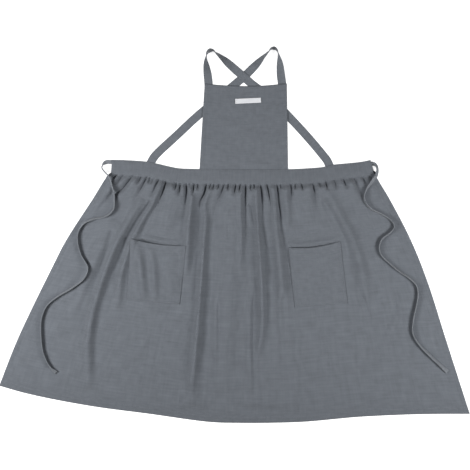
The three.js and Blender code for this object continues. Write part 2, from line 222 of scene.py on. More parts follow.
def raised(folds, x, y):
    """How far soft folds raise the cloth. Where they meet they add up."""
    total = np.zeros_like(x)
    for route, width, height in folds:
        nearest, reached = near_route(route, x, y)
        total += height * np.sqrt(np.sin(math.pi * reached)) * np.exp(-((nearest / width) ** 2))
    return total


print(len(FOLDS), "soft folds, the highest", max(fold[-1] for fold in FOLDS), "m")

# %% Sharp creases
# A narrow valley that leaves the band or another fold, widens on its way and runs out at its end.
# Its depth is a share of the cloth's height there, so that it never goes below the floor
CREASES = [
    # route, depth, first width, last width
    ([(-0.362, 0.186), (-0.383, 0.160)], 0.90, 0.0046, 0.0060),
    ([(-0.344, 0.181), (-0.366, 0.152)], 0.92, 0.0054, 0.0072),
    ([(-0.310, 0.184), (-0.324, 0.166), (-0.350, 0.136), (-0.381, 0.122), (-0.408, 0.089),
      (-0.440, 0.056)], 0.98, 0.0063, 0.0120),
    ([(-0.288, 0.177), (-0.301, 0.150)], 0.92, 0.0054, 0.0066),
    ([(-0.270, 0.176), (-0.300, 0.120), (-0.332, 0.070)], 0.90, 0.0046, 0.0096),
    ([(-0.232, 0.172), (-0.246, 0.139), (-0.262, 0.110)], 0.90, 0.0054, 0.0080),
    ([(-0.262, 0.098), (-0.290, 0.059), (-0.314, 0.018), (-0.334, -0.019), (-0.350, -0.062),
      (-0.367, -0.096), (-0.388, -0.153), (-0.432, -0.280)], 0.98, 0.0090, 0.0170),
    ([(-0.210, 0.168), (-0.223, 0.126), (-0.246, 0.082), (-0.266, 0.052), (-0.283, 0.015), (-0.286, -0.020),
      (-0.288, -0.050)], 0.98, 0.0060, 0.0120),
    ([(-0.167, 0.163), (-0.171, 0.115)], 0.92, 0.0050, 0.0062),
    ([(-0.149, 0.162), (-0.147, 0.126), (-0.152, 0.072), (-0.150, 0.055)], 0.93, 0.0056, 0.0080),
    ([(-0.150, 0.062), (-0.165, 0.042), (-0.190, 0.017)], 0.45, 0.0060, 0.0080),
    ([(-0.124, 0.160), (-0.130, 0.115)], 0.92, 0.0050, 0.0062),
    ([(-0.085, 0.160), (-0.092, 0.126), (-0.102, 0.106), (-0.107, 0.086), (-0.109, 0.040), (-0.113, -0.010)],
     0.98, 0.0055, 0.0080),
    ([(-0.109, 0.070), (-0.112, 0.020), (-0.118, -0.080), (-0.124, -0.200)], 0.92, 0.0130, 0.0170),
    ([(-0.029, 0.159), (-0.041, 0.126), (-0.055, 0.090), (-0.064, 0.050), (-0.069, 0.012), (-0.074, -0.125),
      (-0.082, -0.253)], 0.82, 0.0056, 0.0200),
    ([(-0.073, -0.130), (-0.082, -0.253), (-0.094, -0.340), (-0.100, -0.530)], 0.85, 0.0140, 0.0160),
    ([(-0.020, 0.030), (-0.017, -0.019), (-0.020, -0.060)], 0.35, 0.0050, 0.0080),
    ([(0.006, 0.159), (-0.003, 0.115)], 0.90, 0.0050, 0.0062),
    ([(0.035, 0.159), (0.032, 0.105), (0.033, 0.040), (0.036, -0.019), (0.034, -0.100)],
     0.95, 0.0059, 0.0100),
    ([(0.047, 0.090), (0.059, 0.041), (0.066, -0.010)], 0.90, 0.0056, 0.0090),
    ([(0.046, 0.030), (0.048, -0.100), (0.052, -0.270)], 0.80, 0.0130, 0.0120),
    ([(0.079, 0.159), (0.083, 0.124), (0.085, 0.088), (0.087, 0.029), (0.094, -0.019), (0.106, -0.090),
      (0.122, -0.230)], 0.95, 0.0063, 0.0170),
    ([(0.099, 0.159), (0.109, 0.112), (0.113, 0.075)], 0.94, 0.0054, 0.0070),
    ([(0.130, 0.160), (0.135, 0.112), (0.140, 0.069), (0.142, 0.029), (0.151, -0.019), (0.163, -0.066),
      (0.171, -0.126), (0.188, -0.240)], 0.96, 0.0056, 0.0052),
    ([(0.174, 0.161), (0.175, 0.092)], 0.93, 0.0050, 0.0070),
    ([(0.240, 0.164), (0.251, 0.109), (0.266, 0.058)], 0.90, 0.0050, 0.0085),
    ([(0.281, 0.167), (0.286, 0.132)], 0.90, 0.0046, 0.0060),
    ([(0.308, 0.170), (0.317, 0.134)], 0.90, 0.0054, 0.0072),
    ([(0.336, 0.173), (0.347, 0.136)], 0.90, 0.0054, 0.0072),
    ([(0.367, 0.180), (0.375, 0.156), (0.398, 0.112)], 0.90, 0.0056, 0.0100),
    ([(0.392, 0.184), (0.408, 0.152)], 0.90, 0.0054, 0.0080),
    ([(0.275, 0.100), (0.321, 0.025), (0.345, -0.025), (0.360, -0.090)], 0.75, 0.0100, 0.0150),
    ([(0.058, -0.190), (0.057, -0.339), (0.061, -0.490)], 0.72, 0.0085, 0.0080),
    ([(0.080, -0.380), (0.092, -0.510)], 0.50, 0.0100, 0.0140),
    ([(0.150, -0.200), (0.156, -0.290), (0.160, -0.400)], 0.70, 0.0100, 0.0160),
    ([(0.390, -0.180), (0.426, -0.260)], 0.85, 0.0045, 0.0065),
    ([(0.505, -0.205), (0.467, -0.307), (0.415, -0.390)], 0.88, 0.0050, 0.0070),
    ([(-0.380, 0.005), (-0.413, -0.099), (-0.455, -0.183), (-0.505, -0.290)], 0.70, 0.0090, 0.0150),
    ([(-0.418, -0.270), (-0.430, -0.340), (-0.424, -0.480)], 0.70, 0.0120, 0.0160),
    ([(-0.050, -0.210), (-0.048, -0.340), (-0.052, -0.490)], 0.45, 0.0075, 0.0090),
    ([(0.020, -0.548), (0.070, -0.545), (0.118, -0.533), (0.185, -0.514)], 0.95, 0.0060, 0.0080),
    ([(-0.110, -0.536), (-0.160, -0.530)], 0.80, 0.0050, 0.0070),
    # along the mouths of the pockets
    ([(-0.286, -0.0185), (-0.254, -0.0275), (-0.235, -0.0315), (-0.205, -0.0350), (-0.152, -0.0350)],
     0.98, 0.0048, 0.0036),
    ([(0.172, -0.041), (0.198, -0.0445), (0.216, -0.0450), (0.243, -0.0420), (0.268, -0.0360),
      (0.318, -0.0240)], 0.95, 0.0036, 0.0034),
]
# Short creases at the band, all of one depth and width: where each one starts and ends
SHORT_CREASES = [
    [(-0.261, 0.175), (-0.267, 0.152)], [(-0.252, 0.174), (-0.257, 0.152)],
    [(-0.203, 0.166), (-0.211, 0.138)], [(-0.179, 0.164), (-0.183, 0.132)],
    [(-0.139, 0.161), (-0.141, 0.140)], [(-0.112, 0.160), (-0.114, 0.132)],
    [(-0.073, 0.160), (-0.078, 0.134)], [(-0.062, 0.159), (-0.068, 0.134)],
    [(-0.047, 0.159), (-0.052, 0.134)], [(-0.018, 0.159), (-0.021, 0.132)],
    [(0.019, 0.159), (0.014, 0.126)], [(0.052, 0.159), (0.049, 0.130)], [(0.061, 0.159), (0.062, 0.136)],
    [(0.142, 0.160), (0.144, 0.136)], [(0.187, 0.161), (0.188, 0.134)], [(0.207, 0.162), (0.210, 0.132)],
    [(0.262, 0.165), (0.267, 0.142)],
]
SHORT_CREASE = (0.90, 0.0046, 0.0058)
CREASES += [(route, *SHORT_CREASE) for route in SHORT_CREASES]
CREASE_RUN_OUT = 2.4
CREASE_SHARPNESS = 1.4


def crease_share(x, y):
    """How far the cloth sinks towards the floor in the creases, as a share of its height."""
    total = np.zeros_like(x)
    for route, depth, first_width, last_width in CREASES:
        nearest, reached = near_route(route, x, y)
        width = first_width + (last_width - first_width) * reached
        strength = depth * (1 - reached**CREASE_RUN_OUT)
        total = np.maximum(total, strength * np.exp(-((nearest / width) ** CREASE_SHARPNESS)))
    return total


print(len(CREASES), "sharp creases")

# %% Wrinkles
WRINKLES = 36
WRINKLE_SIZES = (0.028, 0.130)
WRINKLE_HEIGHT = 0.0140
SEED = 7

rng = np.random.default_rng(SEED)
wrinkle_size = rng.uniform(*WRINKLE_SIZES, WRINKLES)
wrinkle_turn = rng.uniform(0, math.pi, WRINKLES)
wrinkle_start = rng.uniform(0, 2 * math.pi, WRINKLES)


def wrinkle_height(x, y):
    """Many shallow waves of different lengths and directions, added up."""
    total = np.zeros_like(x)
    for size, turn, start in zip(wrinkle_size, wrinkle_turn, wrinkle_start):
        across = (x * math.cos(turn) + y * math.sin(turn)) / size
        total += size * np.sin(2 * math.pi * across + start)
    return total * WRINKLE_HEIGHT / math.sqrt(WRINKLES)


print("the longest wrinkle is", round(wrinkle_size.max(), 3), "m from crest to crest")

# %% Height of the skirt
# Thickness of the cloth, and the gap that two layers keep
CLOTH = 0.0010
CLEARANCE = 0.0003
# Height of the cloth in the band, how much more it is at the band's lower edge, and the groove's depth
SEAT = 0.0031
BAND_SWELL = 0.0080
SKIRT_GROOVE = 0.013
# Height at which the cloth comes to rest, and height, length and rise of the puff
REST_HEIGHT = 0.0055
PUFF_HEIGHT = 0.0075
PUFF_LENGTH = 0.055
PUFF_RISE = 0.020
# A crease starts this far inside the band and is open after so much of its length
CREASE_TUCK = 0.003
CREASE_OPENS = 0.005
# One place near the band and one far below it
PROBES = np.array([(0.0, 0.10), (0.2, -0.30)])


def lie_of_skirt(x, y):
    """Height of the cloth's underside over the floor, in the tables' own frame."""
    below = below_band(x, y)
    near_band = np.exp(-((np.maximum(below, 0) / PUFF_LENGTH) ** 2))
    tucked = SEAT + BAND_SWELL * np.clip(1 + below / SKIRT_GROOVE, 0, 1)
    seat = np.where(below < 0, tucked, REST_HEIGHT + (SEAT + BAND_SWELL - REST_HEIGHT) * near_band)
    puff = PUFF_HEIGHT * near_band
    risen = smooth_step(below / PUFF_RISE)
    free = seat + (puff + raised(FOLDS, x, y) + wrinkle_height(x, y)) * risen
    opened = np.clip((below + CREASE_TUCK) / CREASE_OPENS, 0, 1)
    return np.maximum(free * (1 - crease_share(x, y) * opened), 0)


print("height near the band and far below it:", lie_of_skirt(*PROBES.T).round(4).tolist())

# %% [markdown]
# ## Cloth and thread
#
# The apron is a plain-weave cloth of cotton and linen, washed soft: warp and weft go over and under
# each other, single threads are a little thicker than the next, and the dye is slightly uneven. An
# image of cloth would do, but a weave of nodes has no seams and no edges. It reads the piece's own UV
# map, which is in metres along the threads, so the weave has the same size on every piece and turns
# with it.

# %% Node helper
def add_node(tree, kind, inputs=(), **settings):
    """A shader node with its settings, and its inputs set to values or linked to sockets."""
    node = tree.nodes.new(kind)
    for name, value in settings.items():
        setattr(node, name, value)
    for name, value in dict(inputs).items():
        if isinstance(value, bpy.types.NodeSocket):
            tree.links.new(value, node.inputs[name])
        else:
            node.inputs[name].default_value = value
    return node


def math_node(tree, operation, first, second):
    return add_node(tree, "ShaderNodeMath", {0: first, 1: second}, operation=operation).outputs[0]


def noise(tree, place, scale, detail=2.0):
    """Noise with its own scale in each direction."""
    stretched = add_node(tree, "ShaderNodeMapping", {"Vector": place, "Scale": scale})
    inputs = {"Vector": stretched.outputs[0], "Scale": 1.0, "Detail": detail}
    return add_node(tree, "ShaderNodeTexNoise", inputs).outputs["Fac"]


def stripes(tree, place, scale, direction):
    """Soft stripes, side by side."""
    settings = {"wave_type": "BANDS", "bands_direction": direction}
    return add_node(tree, "ShaderNodeTexWave", {"Vector": place, "Scale": scale}, **settings).outputs["Fac"]


def map_range(tree, value, given, wanted):
    """Stretches a value from one range to another."""
    limits = {"From Min": given[0], "From Max": given[1], "To Min": wanted[0], "To Max": wanted[1]}
    return add_node(tree, "ShaderNodeMapRange", {"Value": value, **limits}).outputs[0]


print("node helpers ready")

# %% Finish helper
def new_finish(name, shade):
    """A material with these constants on its shader, and its node tree and shader."""
    material = bpy.data.materials.new(name)
    material.use_nodes = True
    shader = material.node_tree.nodes["Principled BSDF"]
    for socket, value in shade.items():
        shader.inputs[socket].default_value = value
    return material, material.node_tree, shader


def dye(tree, shader, colour, share):
    """Gives a shader a colour that is lighter or darker by a share from place to place."""
    dyed = add_node(tree, "ShaderNodeVectorMath", {0: colour, "Scale": share}, operation="SCALE")
    tree.links.new(dyed.outputs[0], shader.inputs["Base Color"])


print("finish helpers ready")

# %% Cloth finish
THREAD_WIDTH = 0.0008
# A wave texture of scale 1 turns by this many radians in a metre
WAVE_TURNS = 20
# Thick places run along the threads and patches of dye spread all ways: the scales of their noise
WARP_SLUB = (420, 16, 1)
WEFT_SLUB = (16, 420, 1)
DYE_PATCH = (60, 60, 1)
DYE_DETAIL = 4.0
WARP_SHARE = 0.5
# The range in which slubs and patches mostly lie when they are added up
UNEVEN_RANGE = (0.70, 1.80)
WEAVE_BUMP = 0.5
CLOTH_SHADE = {
    "Roughness": 0.95, "Specular IOR Level": 0.15, "Sheen Weight": 0.12, "Sheen Roughness": 0.5,
}


def cloth_finish(name, colour, contrast, weave_depth):
    """Woven cloth: colour is the dye, contrast how far single threads and patches differ from it."""
    material, tree, shader = new_finish(name, CLOTH_SHADE)
    place = add_node(tree, "ShaderNodeUVMap", uv_map="UVMap").outputs[0]

    wave_scale = 2 * math.pi / (WAVE_TURNS * THREAD_WIDTH)
    warp, weft = (stripes(tree, place, wave_scale, direction) for direction in "XY")
    squares = {"Vector": place, "Scale": 1 / THREAD_WIDTH}
    over = add_node(tree, "ShaderNodeTexChecker", squares).outputs["Fac"]
    weave = add_node(tree, "ShaderNodeMix", {0: over, 2: warp, 3: weft}).outputs[0]

    warp_slubs = math_node(tree, "MULTIPLY", noise(tree, place, WARP_SLUB), WARP_SHARE)
    slubs = math_node(tree, "ADD", warp_slubs, noise(tree, place, WEFT_SLUB))
    patches = noise(tree, place, DYE_PATCH, detail=DYE_DETAIL)
    uneven = math_node(tree, "ADD", slubs, patches)
    dye(tree, shader, colour, map_range(tree, uneven, UNEVEN_RANGE, (1 - contrast, 1 + contrast)))

    relief = {
        "Height": math_node(tree, "ADD", weave, slubs), "Strength": WEAVE_BUMP, "Distance": weave_depth,
    }
    tree.links.new(add_node(tree, "ShaderNodeBump", relief).outputs[0], shader.inputs["Normal"])
    return material


GREY_DYE = (0.120, 0.131, 0.148)
STRAP_DYE = (0.124, 0.135, 0.152)
# The ties are the same grey cloth as the rest: their colour is made lighter as a painted highlight of the
# light that their raised edges catch
TIE_GREY_PAINTED_HIGHLIGHT = (0.160, 0.172, 0.190)
TAPE_WHITE = (0.625, 0.635, 0.660)
apron_cloth = cloth_finish("apron_cloth", GREY_DYE, contrast=0.19, weave_depth=0.0003)
strap_cloth = cloth_finish("strap_cloth", STRAP_DYE, contrast=0.19, weave_depth=0.0003)
tie_cloth_painted_highlight = cloth_finish("tie_cloth_painted_highlight", TIE_GREY_PAINTED_HIGHLIGHT, contrast=0.16, weave_depth=0.0003)
label_tape = cloth_finish("label_tape", TAPE_WHITE, contrast=0.03, weave_depth=0.0002)
print("finishes:", apron_cloth.name, strap_cloth.name, tie_cloth_painted_highlight.name, label_tape.name)

# %% Thread finish
PLY = 2500
PLY_SHADES = (0.85, 1.1)
THREAD_SHADE = {"Roughness": 0.8, "Sheen Weight": 0.1}


def thread_finish(name, colour):
    """Sewing thread: two plies that show as fine slanting stripes."""
    material, tree, shader = new_finish(name, THREAD_SHADE)
    place = add_node(tree, "ShaderNodeTexCoord").outputs["Object"]
    plies = stripes(tree, place, PLY, "DIAGONAL")
    dye(tree, shader, colour, map_range(tree, plies, (0, 1), PLY_SHADES))
    return material


GREY_THREAD = (0.150, 0.163, 0.182)
WHITE_THREAD = (0.70, 0.71, 0.73)
grey_thread = thread_finish("grey_thread", GREY_THREAD)
white_thread = thread_finish("white_thread", WHITE_THREAD)
print("finishes:", grey_thread.name, white_thread.name)

# %% [markdown]
# ## Ties
#
# A tie is a narrow tube of the same cloth, pressed flat, 13 mm wide, and is coloured a little lighter than
# the rest as a painted highlight.
# Each one leaves an end of the waistband flat, turns onto its edge and runs over the skirt in loose
# curves. A curve object with a flat bevel could follow the route, but where it stands on edge the twist
# has to be set by hand at each point. So the tie is lofted: a flat ring with round edges is set down at
# each step, rolled about the route, and neighbouring rings are joined.

# %% Lofts
def only(piece):
    """Selects this piece alone."""
    bpy.ops.object.select_all(action="DESELECT")
    piece.select_set(True)
    bpy.context.view_layer.objects.active = piece


def add_mesh(name, points, faces, material):
    """A new piece of points and faces, selected alone."""
    mesh = bpy.data.meshes.new(name)
    mesh.from_pydata(points.tolist(), [], faces)
    mesh.materials.append(material)
    piece = bpy.data.objects.new(name, mesh)
    bpy.context.collection.objects.link(piece)
    only(piece)
    return piece


def loft(name, rings, material):
    """A closed body through rings of points, with a UV map in metres round and along it."""
    count, around = rings.shape[:2]
    index = np.arange(count * around).reshape(count, around)
    corner = np.roll(index, -1, axis=1)
    sides = np.stack([index[:-1], corner[:-1], corner[1:], index[1:]], axis=-1).reshape(-1, 4)
    faces = sides.tolist() + [index[0, ::-1].tolist(), index[-1].tolist()]
    piece = add_mesh(name, rings.reshape(-1, 3), faces, material)

    along = lengths(rings.mean(axis=1))
    girth = lengths(np.vstack([rings[0], rings[0, :1]]))
    u = np.stack([girth[:-1], girth[1:], girth[1:], girth[:-1]], axis=-1)
    v = np.stack([along[:-1], along[:-1], along[1:], along[1:]], axis=-1)[:, None]
    walls = np.stack(np.broadcast_arrays(u, v), axis=-1).reshape(-1, 2)
    caps = np.vstack([np.stack([girth[:-1], np.full(around, a)], axis=-1) for a in (along[0], along[-1])])
    uv_map = piece.data.uv_layers.new(name="UVMap")
    uv_map.data.foreach_set("uv", np.vstack([walls, caps]).ravel())

    bpy.ops.object.mode_set(mode="EDIT")
    bpy.ops.mesh.select_all(action="SELECT")
    bpy.ops.mesh.normals_make_consistent(inside=False)
    bpy.ops.object.mode_set(mode="OBJECT")
    bpy.ops.object.shade_smooth()
    return piece


print("lofts ready")

# %% Tapes
def flat_ring(width, thick, points=16, squareness=0.35):
    """A flat ring with round edges, as pairs of across and up."""
    turn = np.linspace(0, 2 * math.pi, points, endpoint=False)
    across = np.sign(np.cos(turn)) * np.abs(np.cos(turn)) ** squareness
    up = np.sign(np.sin(turn)) * np.abs(np.sin(turn)) ** squareness
    return np.stack([across * width / 2, up * thick / 2], axis=-1)


def half_height(width, thick, roll):
    """How far the middle of a rolled tape is above its lowest edge."""
    turn = np.radians(roll)
    return (np.abs(np.sin(turn)) * width + np.abs(np.cos(turn)) * thick) / 2


def between(values, steps):
    """A column of a table, carried on in a straight line from each row to the next."""
    rows = np.arange(len(values))
    return np.interp(np.linspace(0, len(values) - 1, (len(values) - 1) * steps + 1), rows, values)


def read_route(route, steps):
    """A table's route as a smooth line, with its roll and its lift carried along it."""
    x, y, roll, lift = np.array(route).T
    return through(np.stack([x, y], axis=-1), steps), between(roll, steps), between(lift, steps)


def lay_out(middle, roll):
    """The directions across a tape that is rolled on its route, and out of its face."""
    forward = np.gradient(middle, axis=0)
    forward[:, 2] = 0
    forward /= np.linalg.norm(forward, axis=1)[:, None]
    level = np.stack([-forward[:, 1], forward[:, 0], np.zeros(len(forward))], axis=-1)
    up = np.array([0.0, 0.0, 1.0])
    turn = np.radians(roll)[:, None]
    return level * np.cos(turn) + up * np.sin(turn), up * np.cos(turn) - level * np.sin(turn)


def stands_for(piece, node):
    """Puts a piece in a solid's place: the solid is hidden and the piece rides on the one body."""
    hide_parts(node)
    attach(piece, "root")


def tape(node, flat, height, roll, ring, material):
    """A tape lofted along a route, with its middle line and the directions across and out of it."""
    middle = np.column_stack([flat[:, 0], flat[:, 1] + MIDDLE_SHIFT, height])
    side, face = lay_out(middle, roll)
    rings = middle[:, None] + side[:, None] * ring[:, :1] + face[:, None] * ring[:, 1:]
    piece = loft(node + "_cloth", rings, material)
    stands_for(piece, node)
    return piece, middle, side, face


print("a ring has", len(flat_ring(1, 1)), "points")

# %% Routes of the ties
# From the band to the loose end: x, y, roll in degrees, and lift where a tie is still off the skirt
TIE_ROUTES = {
    "tie_left": [
        (-0.368, 0.222, 0, 0.0016), (-0.386, 0.223, 0, 0.0016), (-0.398, 0.222, 6, 0.0016),
        (-0.4075, 0.213, 66, 0.002), (-0.4095, 0.204, 72, 0.003), (-0.402, 0.193, 74, 0.005),
        (-0.386, 0.177, 74, 0.009),
        (-0.373, 0.138, 70, 0), (-0.369, 0.101, 68, 0), (-0.373, 0.074, 70, 0), (-0.394, 0.055, 72, 0),
        (-0.434, 0.046, 70, 0), (-0.465, 0.031, 72, 0), (-0.482, 0.004, 75, 0), (-0.483, -0.028, 76, 0),
        (-0.471, -0.068, 76, 0), (-0.449, -0.104, 76, 0), (-0.461, -0.136, 75, 0), (-0.500, -0.166, 74, 0),
        (-0.547, -0.194, 74, 0), (-0.580, -0.223, 76, 0), (-0.595, -0.264, 77, 0), (-0.596, -0.310, 77, 0),
        (-0.591, -0.356, 76, 0), (-0.578, -0.393, 74, 0), (-0.565, -0.414, 60, 0), (-0.550, -0.428, 20, 0),
    ],
    "tie_right": [
        (0.404, 0.214, 0, 0.0016), (0.421, 0.2175, 0, 0.0016), (0.4285, 0.2175, 0, 0.0016),
        (0.4375, 0.2105, -44, 0.005), (0.4400, 0.197, -48, 0.010), (0.4355, 0.180, -42, 0.012),
        (0.421, 0.159, -46, 0.012),
        (0.404, 0.134, -68, 0), (0.399, 0.106, -96, 0), (0.416, 0.080, -103, 0), (0.450, 0.062, -103, 0),
        (0.481, 0.042, -94, 0), (0.492, 0.023, -80, 0), (0.481, 0.005, -72, 0), (0.456, -0.015, -70, 0),
        (0.446, -0.038, -72, 0), (0.451, -0.064, -74, 0), (0.476, -0.089, -74, 0), (0.507, -0.115, -74, 0),
        (0.538, -0.136, -74, 0), (0.561, -0.160, -72, 0), (0.565, -0.188, -70, 0), (0.560, -0.224, -66, 0),
        (0.551, -0.264, -66, 0), (0.548, -0.300, -70, 0), (0.560, -0.329, -70, 0), (0.584, -0.357, -60, 0),
        (0.610, -0.382, -55, 0), (0.635, -0.405, -48, 0), (0.648, -0.417, -30, 0), (0.657, -0.425, -10, 0),
    ],
}
print("points of the ties:", {name: len(route) for name, route in TIE_ROUTES.items()})

# %% Ties
TIE_WIDTH = 0.013
TIE_THICK = 0.0022
TIE_STEPS = 6
# How far round the tie the skirt is felt, at how many places, and over how many steps that is evened out
TIE_REACH = 0.004
PLACES_AROUND = 8
TIE_SMOOTHING = 5


def skirt_under(x, y, reach):
    """The highest that the skirt's upper face comes within reach of these points."""
    highest = np.zeros_like(x)
    turns = np.linspace(0, 2 * math.pi, PLACES_AROUND, endpoint=False)
    for dx, dy in [(0, 0)] + [(reach * math.cos(t), reach * math.sin(t)) for t in turns]:
        covered = below_band(x + dx, y + dy) > 0
        highest = np.maximum(highest, np.where(covered, lie_of_skirt(x + dx, y + dy) + CLOTH, 0))
    return highest


def running_mean(values, span):
    padded = np.pad(values, span // 2, mode="edge")
    return np.convolve(padded, np.ones(span) / span, mode="valid")


def tie(name, route):
    """A tie that rests on the highest parts of the skirt under it."""
    flat, roll, lift = read_route(route, TIE_STEPS)
    skirt_top = skirt_under(flat[:, 0], flat[:, 1], TIE_REACH) + CLEARANCE
    rest = running_mean(np.maximum(skirt_top, lift), TIE_SMOOTHING)
    height = np.where(lift > 0, np.maximum(lift, skirt_top), np.maximum(rest, skirt_top))
    height = height + half_height(TIE_WIDTH, TIE_THICK, roll)
    return tape(name, flat, height, roll, flat_ring(TIE_WIDTH, TIE_THICK), tie_cloth_painted_highlight)


ties = {name: tie(name, route) for name, route in TIE_ROUTES.items()}

# %% [markdown]
# ## Skirt
#
# The skirt is a wide panel with a hem below and at both sides. Its outline is a little crooked, as cloth
# lies: the waist follows the band, the sides lean out and the hem sags in the middle. A grid is added as
# the flat cut, and each of its points is moved to its place: the four edges are blended into each other
# over the panel, and the height comes from the function above. Solidify then gives the cloth its
# thickness.

# %% Sheets
def sheet_grid(name, columns, rows, flat, material):
    """A flat grid for a piece of cloth, with a UV map in metres of the cut, and its u and v."""
    bpy.ops.object.select_all(action="DESELECT")
    bpy.ops.mesh.primitive_grid_add(x_subdivisions=columns, y_subdivisions=rows, size=1)
    piece = bpy.context.object
    piece.name = name
    piece.data.name = name
    piece.data.materials.append(material)
    uv = np.empty(len(piece.data.loops) * 2)
    layer = piece.data.uv_layers["UVMap"]
    layer.data.foreach_get("uv", uv)
    layer.data.foreach_set("uv", (uv.reshape(-1, 2) * flat).ravel())
    places = np.empty(len(piece.data.vertices) * 3)
    piece.data.vertices.foreach_get("co", places)
    x, y, _ = places.reshape(-1, 3).T
    return piece, x + 0.5, 0.5 - y


def settle(piece, node, x, y, z, thick=CLOTH, slot="apron_cloth"):
    """Moves a sheet's points to their places, gives it its thickness and puts it in a solid's place."""
    piece.data.vertices.foreach_set("co", np.column_stack([x, y + MIDDLE_SHIFT, z]).ravel())
    piece.data.update()
    only(piece)
    wall = piece.modifiers.new("cloth", "SOLIDIFY")
    wall.thickness = thick
    wall.offset = 1
    bpy.ops.object.modifier_apply(modifier=wall.name)
    bpy.ops.object.shade_smooth()
    stands_for(piece, node)
    print(piece.name, "has", len(piece.data.polygons), "faces, up to", round(float(z.max()), 4), "m high")


print("sheet helpers ready")

# %% Skirt outline
# How far the skirt reaches into the band, where that edge ends, and from there the sides and the hem
SKIRT_TUCK = 0.011
WAIST_ENDS = (-0.374, 0.411)
LEFT_SIDE = [
    (-0.382, 0.188), (-0.392, 0.181), (-0.441, 0.105), (-0.521, -0.019), (-0.569, -0.112), (-0.673, -0.329),
]
RIGHT_SIDE = [
    (0.424, 0.1955), (0.4345, 0.1930), (0.4395, 0.177), (0.482, 0.105), (0.546, -0.019),
    (0.596, -0.143), (0.6555, -0.329),
]
LEFT_CORNER = (-0.7285, -0.470)
RIGHT_CORNER = (0.7285, -0.557)
HEM_LINE = [
    (-0.634, -0.496), (-0.448, -0.532), (-0.262, -0.557), (-0.076, -0.582),
    (0.017, -0.585), (0.203, -0.582), (0.389, -0.566), (0.575, -0.558),
]
OUTLINE_STEPS = 24


def waist_edge(u):
    """The skirt's upper edge, in the groove of the band."""
    x = WAIST_ENDS[0] + (WAIST_ENDS[1] - WAIST_ENDS[0]) * u
    return np.stack([x, band_middle(x) - BAND_WIDTH / 2 + SKIRT_TUCK], axis=-1)


left_line = through([tuple(waist_edge(0.0)), *LEFT_SIDE, LEFT_CORNER], OUTLINE_STEPS)
right_line = through([tuple(waist_edge(1.0)), *RIGHT_SIDE, RIGHT_CORNER], OUTLINE_STEPS)
hem_line = through([LEFT_CORNER, *HEM_LINE, RIGHT_CORNER], OUTLINE_STEPS)
skirt_length, hem_length = lengths(left_line)[-1], lengths(hem_line)[-1]


def skirt_plan(u, v):
    """Place of a point of the cut, u across it and v down it, blended from the four edges."""
    u_, v_ = u[:, None], v[:, None]
    down = waist_edge(u) * (1 - v_) + at_share(hem_line, u) * v_
    over = at_share(left_line, v) * (1 - u_) + at_share(right_line, v) * u_
    top = waist_edge(0.0) * (1 - u_) + waist_edge(1.0) * u_
    bottom = np.array(LEFT_CORNER) * (1 - u_) + np.array(RIGHT_CORNER) * u_
    return down + over - top * (1 - v_) - bottom * v_


def skirt_width(v):
    """How wide the skirt lies at a share of its length."""
    return np.interp(v, (0, 1), (WAIST_ENDS[1] - WAIST_ENDS[0], hem_length))


print("left side and hem:", round(skirt_length, 3), "and", round(hem_length, 3), "m")

# %% Rows and columns of the skirt
SKIRT_COLUMNS = 380
SKIRT_ROWS = 124
# Shares of the grid's rows, and of the cloth that they cover: closer at the band, the mouths of the
# pockets and the hem
ROW_SHARES = ((0, 0.35, 0.41, 0.60, 0.89, 1), (0, 0.130, 0.240, 0.300, 0.958, 1))
# The columns lie closer at the side hems and where a crease leaves the band
CROWDING = 2.2
CROWD_WIDTH = 0.004
EDGE_CROWDING = 3.0
EDGE_CROWD = 0.016
CROWD_STEPS = 4000


def crowded(u):
    """Moves evenly spaced columns closer together where the cloth needs them."""
    even = np.linspace(0, 1, CROWD_STEPS)
    x = waist_edge(even)[:, 0]
    need = 1 + EDGE_CROWDING * (np.exp(-even / EDGE_CROWD) + np.exp((even - 1) / EDGE_CROWD))
    for route, *_ in CREASES:
        if below_band(*route[0]) < CREASE_TUCK:
            need += CROWDING * np.exp(-(((x - route[0][0]) / CROWD_WIDTH) ** 2))
    share = np.cumsum(need)
    return np.interp(u, (share - share[0]) / (share[-1] - share[0]), even)


column_gaps = np.diff(crowded(np.linspace(0, 1, SKIRT_COLUMNS + 1))) * skirt_width(0)
print("columns at the waist:", column_gaps.min().round(5), "to", column_gaps.max().round(5), "m apart")

# %% Skirt
SKIRT_CUT = (1.48, 0.735)
HEM_WIDTH = 0.017
SIDE_HEM_WIDTH = 0.010
HEM_RISE = 0.0006
HEM_EDGE = 0.003
# Small slanting waves along the stitching of the hem
HEM_PUCKER = 0.0005
PUCKER_PITCH = 0.021
PUCKER_SLANT = 0.2
# Over this width the cloth comes down towards its edges, to this share of its height
EDGE_DROP = 0.035
EDGE_REST = 0.12

skirt, u, v = sheet_grid("skirt_cloth", SKIRT_COLUMNS, SKIRT_ROWS, SKIRT_CUT, apron_cloth)
u = crowded(u)
v = np.interp(v, *ROW_SHARES)
x, y = skirt_plan(u, v).T
from_hem = (1 - v) * skirt_length
from_side = np.minimum(u, 1 - u) * skirt_width(v)
under_band = 1 - smooth_step(below_band(x, y) / HEM_WIDTH)
in_hem = 1 - smooth_step((from_hem - HEM_WIDTH) / HEM_EDGE)
in_side_hem = (1 - smooth_step((from_side - SIDE_HEM_WIDTH) / HEM_EDGE)) * (1 - under_band)
waves = np.sin(2 * math.pi * (x + PUCKER_SLANT * y) / PUCKER_PITCH)
puckers = waves * np.exp(-np.abs(from_hem - HEM_WIDTH) / HEM_WIDTH)
lying = EDGE_REST + (1 - EDGE_REST) * smooth_step(np.minimum(from_hem, from_side) / EDGE_DROP)
lying = np.maximum(lying, under_band)
z = lie_of_skirt(x, y) * lying + HEM_RISE * np.maximum(in_hem, in_side_hem)
z += HEM_PUCKER * (1 + puckers) * in_hem
settle(skirt, "skirt", x, y, z)

